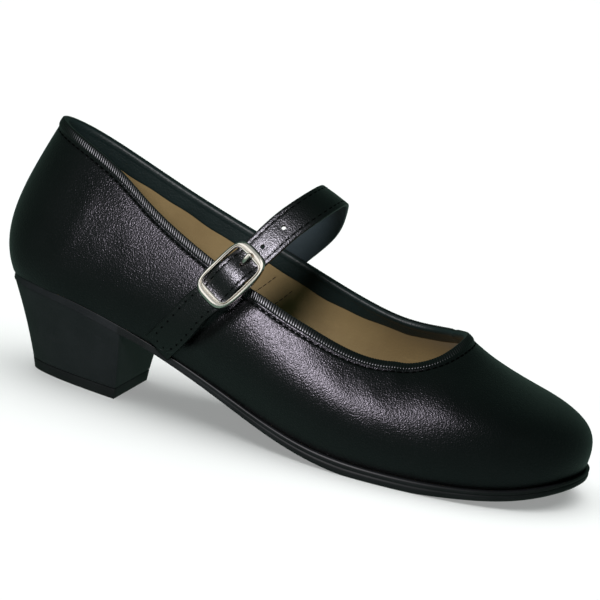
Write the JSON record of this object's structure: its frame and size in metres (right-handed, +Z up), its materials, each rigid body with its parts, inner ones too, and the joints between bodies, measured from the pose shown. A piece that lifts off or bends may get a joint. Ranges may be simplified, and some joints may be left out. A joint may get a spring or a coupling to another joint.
{
  "type": "folk dance shoe",
  "caption": "Right-foot low-cut leather folk dance shoe with a round toe, a low block heel and a buckled strap over the instep.",
  "frame": {"origin": "on the floor under the middle of the shoe's box", "axes": "+X from heel to toe, +Z up, -Y to the outer side with the buckle"},
  "size_m": [0.2416, 0.0808, 0.1016],
  "materials": {
    "upper_leather": "fine-grained black leather, softly polished",
    "insole_sock": "smooth tan leather",
    "outsole_sheet": "smooth black sole sheet with a burnished edge",
    "heel_cover": "matte black cover",
    "lift_rubber": "matte black",
    "strap_leather": "fine-grained black leather with stitched edges",
    "buckle_plate": "bright nickel plate"
  },
  "bodies": {
    "root": {"upper": "upper_leather", "insole": "insole_sock", "outsole": "outsole_sheet", "heel": "heel_cover", "top_lift": "lift_rubber", "strap_tab": "strap_leather", "strap": "strap_leather", "buckle_frame": "buckle_plate", "buckle_prong": "buckle_plate"}
  },
  "joints": []
}
